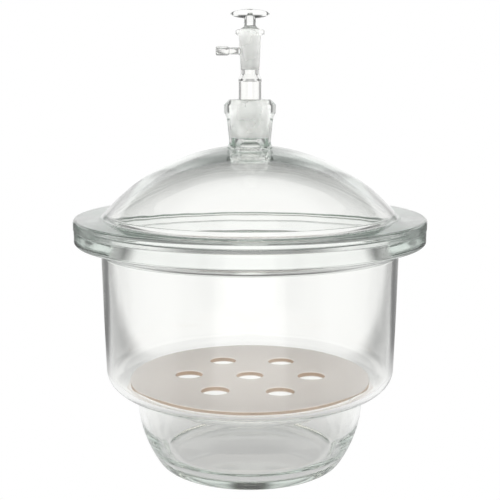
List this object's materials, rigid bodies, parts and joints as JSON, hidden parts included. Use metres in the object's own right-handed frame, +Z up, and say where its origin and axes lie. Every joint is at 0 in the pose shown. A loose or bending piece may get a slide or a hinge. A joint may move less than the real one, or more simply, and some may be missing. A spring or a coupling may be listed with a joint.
{
  "type": "vacuum desiccator",
  "caption": "Round glass vacuum desiccator: flanged vessel with a lower bowl, perforated plate, domed lid and a stopcock with a side hose nozzle in the lid's neck.",
  "frame": {"origin": "on the vertical axis of the vessel, at the height of the table that it stands on", "axes": "+Z up along the axis, hose nozzle towards -X at rest"},
  "size_m": [0.3, 0.3, 0.388],
  "materials": {
    "clear_glass": "clear pressed and blown glass, faintly green in its edges, ground on the flange faces and in the joints",
    "ground_glass": "finely ground, frosted taper with a clear fire-polished handle",
    "porcelain": "porcelain with thin warm grey glaze on its faces, unglazed tan rim and hole walls"
  },
  "bodies": {
    "base": {"base_vessel": "clear_glass"},
    "plate": {"perforated_plate": "porcelain"},
    "lid": {"lid": "clear_glass"},
    "stopcock": {"stopcock_body": "clear_glass"},
    "plug": {"stopcock_plug": "ground_glass"}
  },
  "joints": [
    {"name": "plate_lift", "type": "slide", "parent": "base", "child": "plate", "axis": [0, 0, 1], "range_m": [0, 0.148]},
    {"name": "lid_slide", "type": "slide", "parent": "base", "child": "lid", "axis": [1, 0, 0], "range_m": [0, 0.305]},
    {"name": "stopcock_turn", "type": "hinge", "parent": "lid", "child": "stopcock", "pos_m": [0, 0, 0.2965], "axis": [0, 0, 1], "continuous": true},
    {"name": "plug_turn", "type": "hinge", "parent": "stopcock", "child": "plug", "pos_m": [0, 0, 0.3539], "axis": [0, 0, 1], "continuous": true}
  ]
}
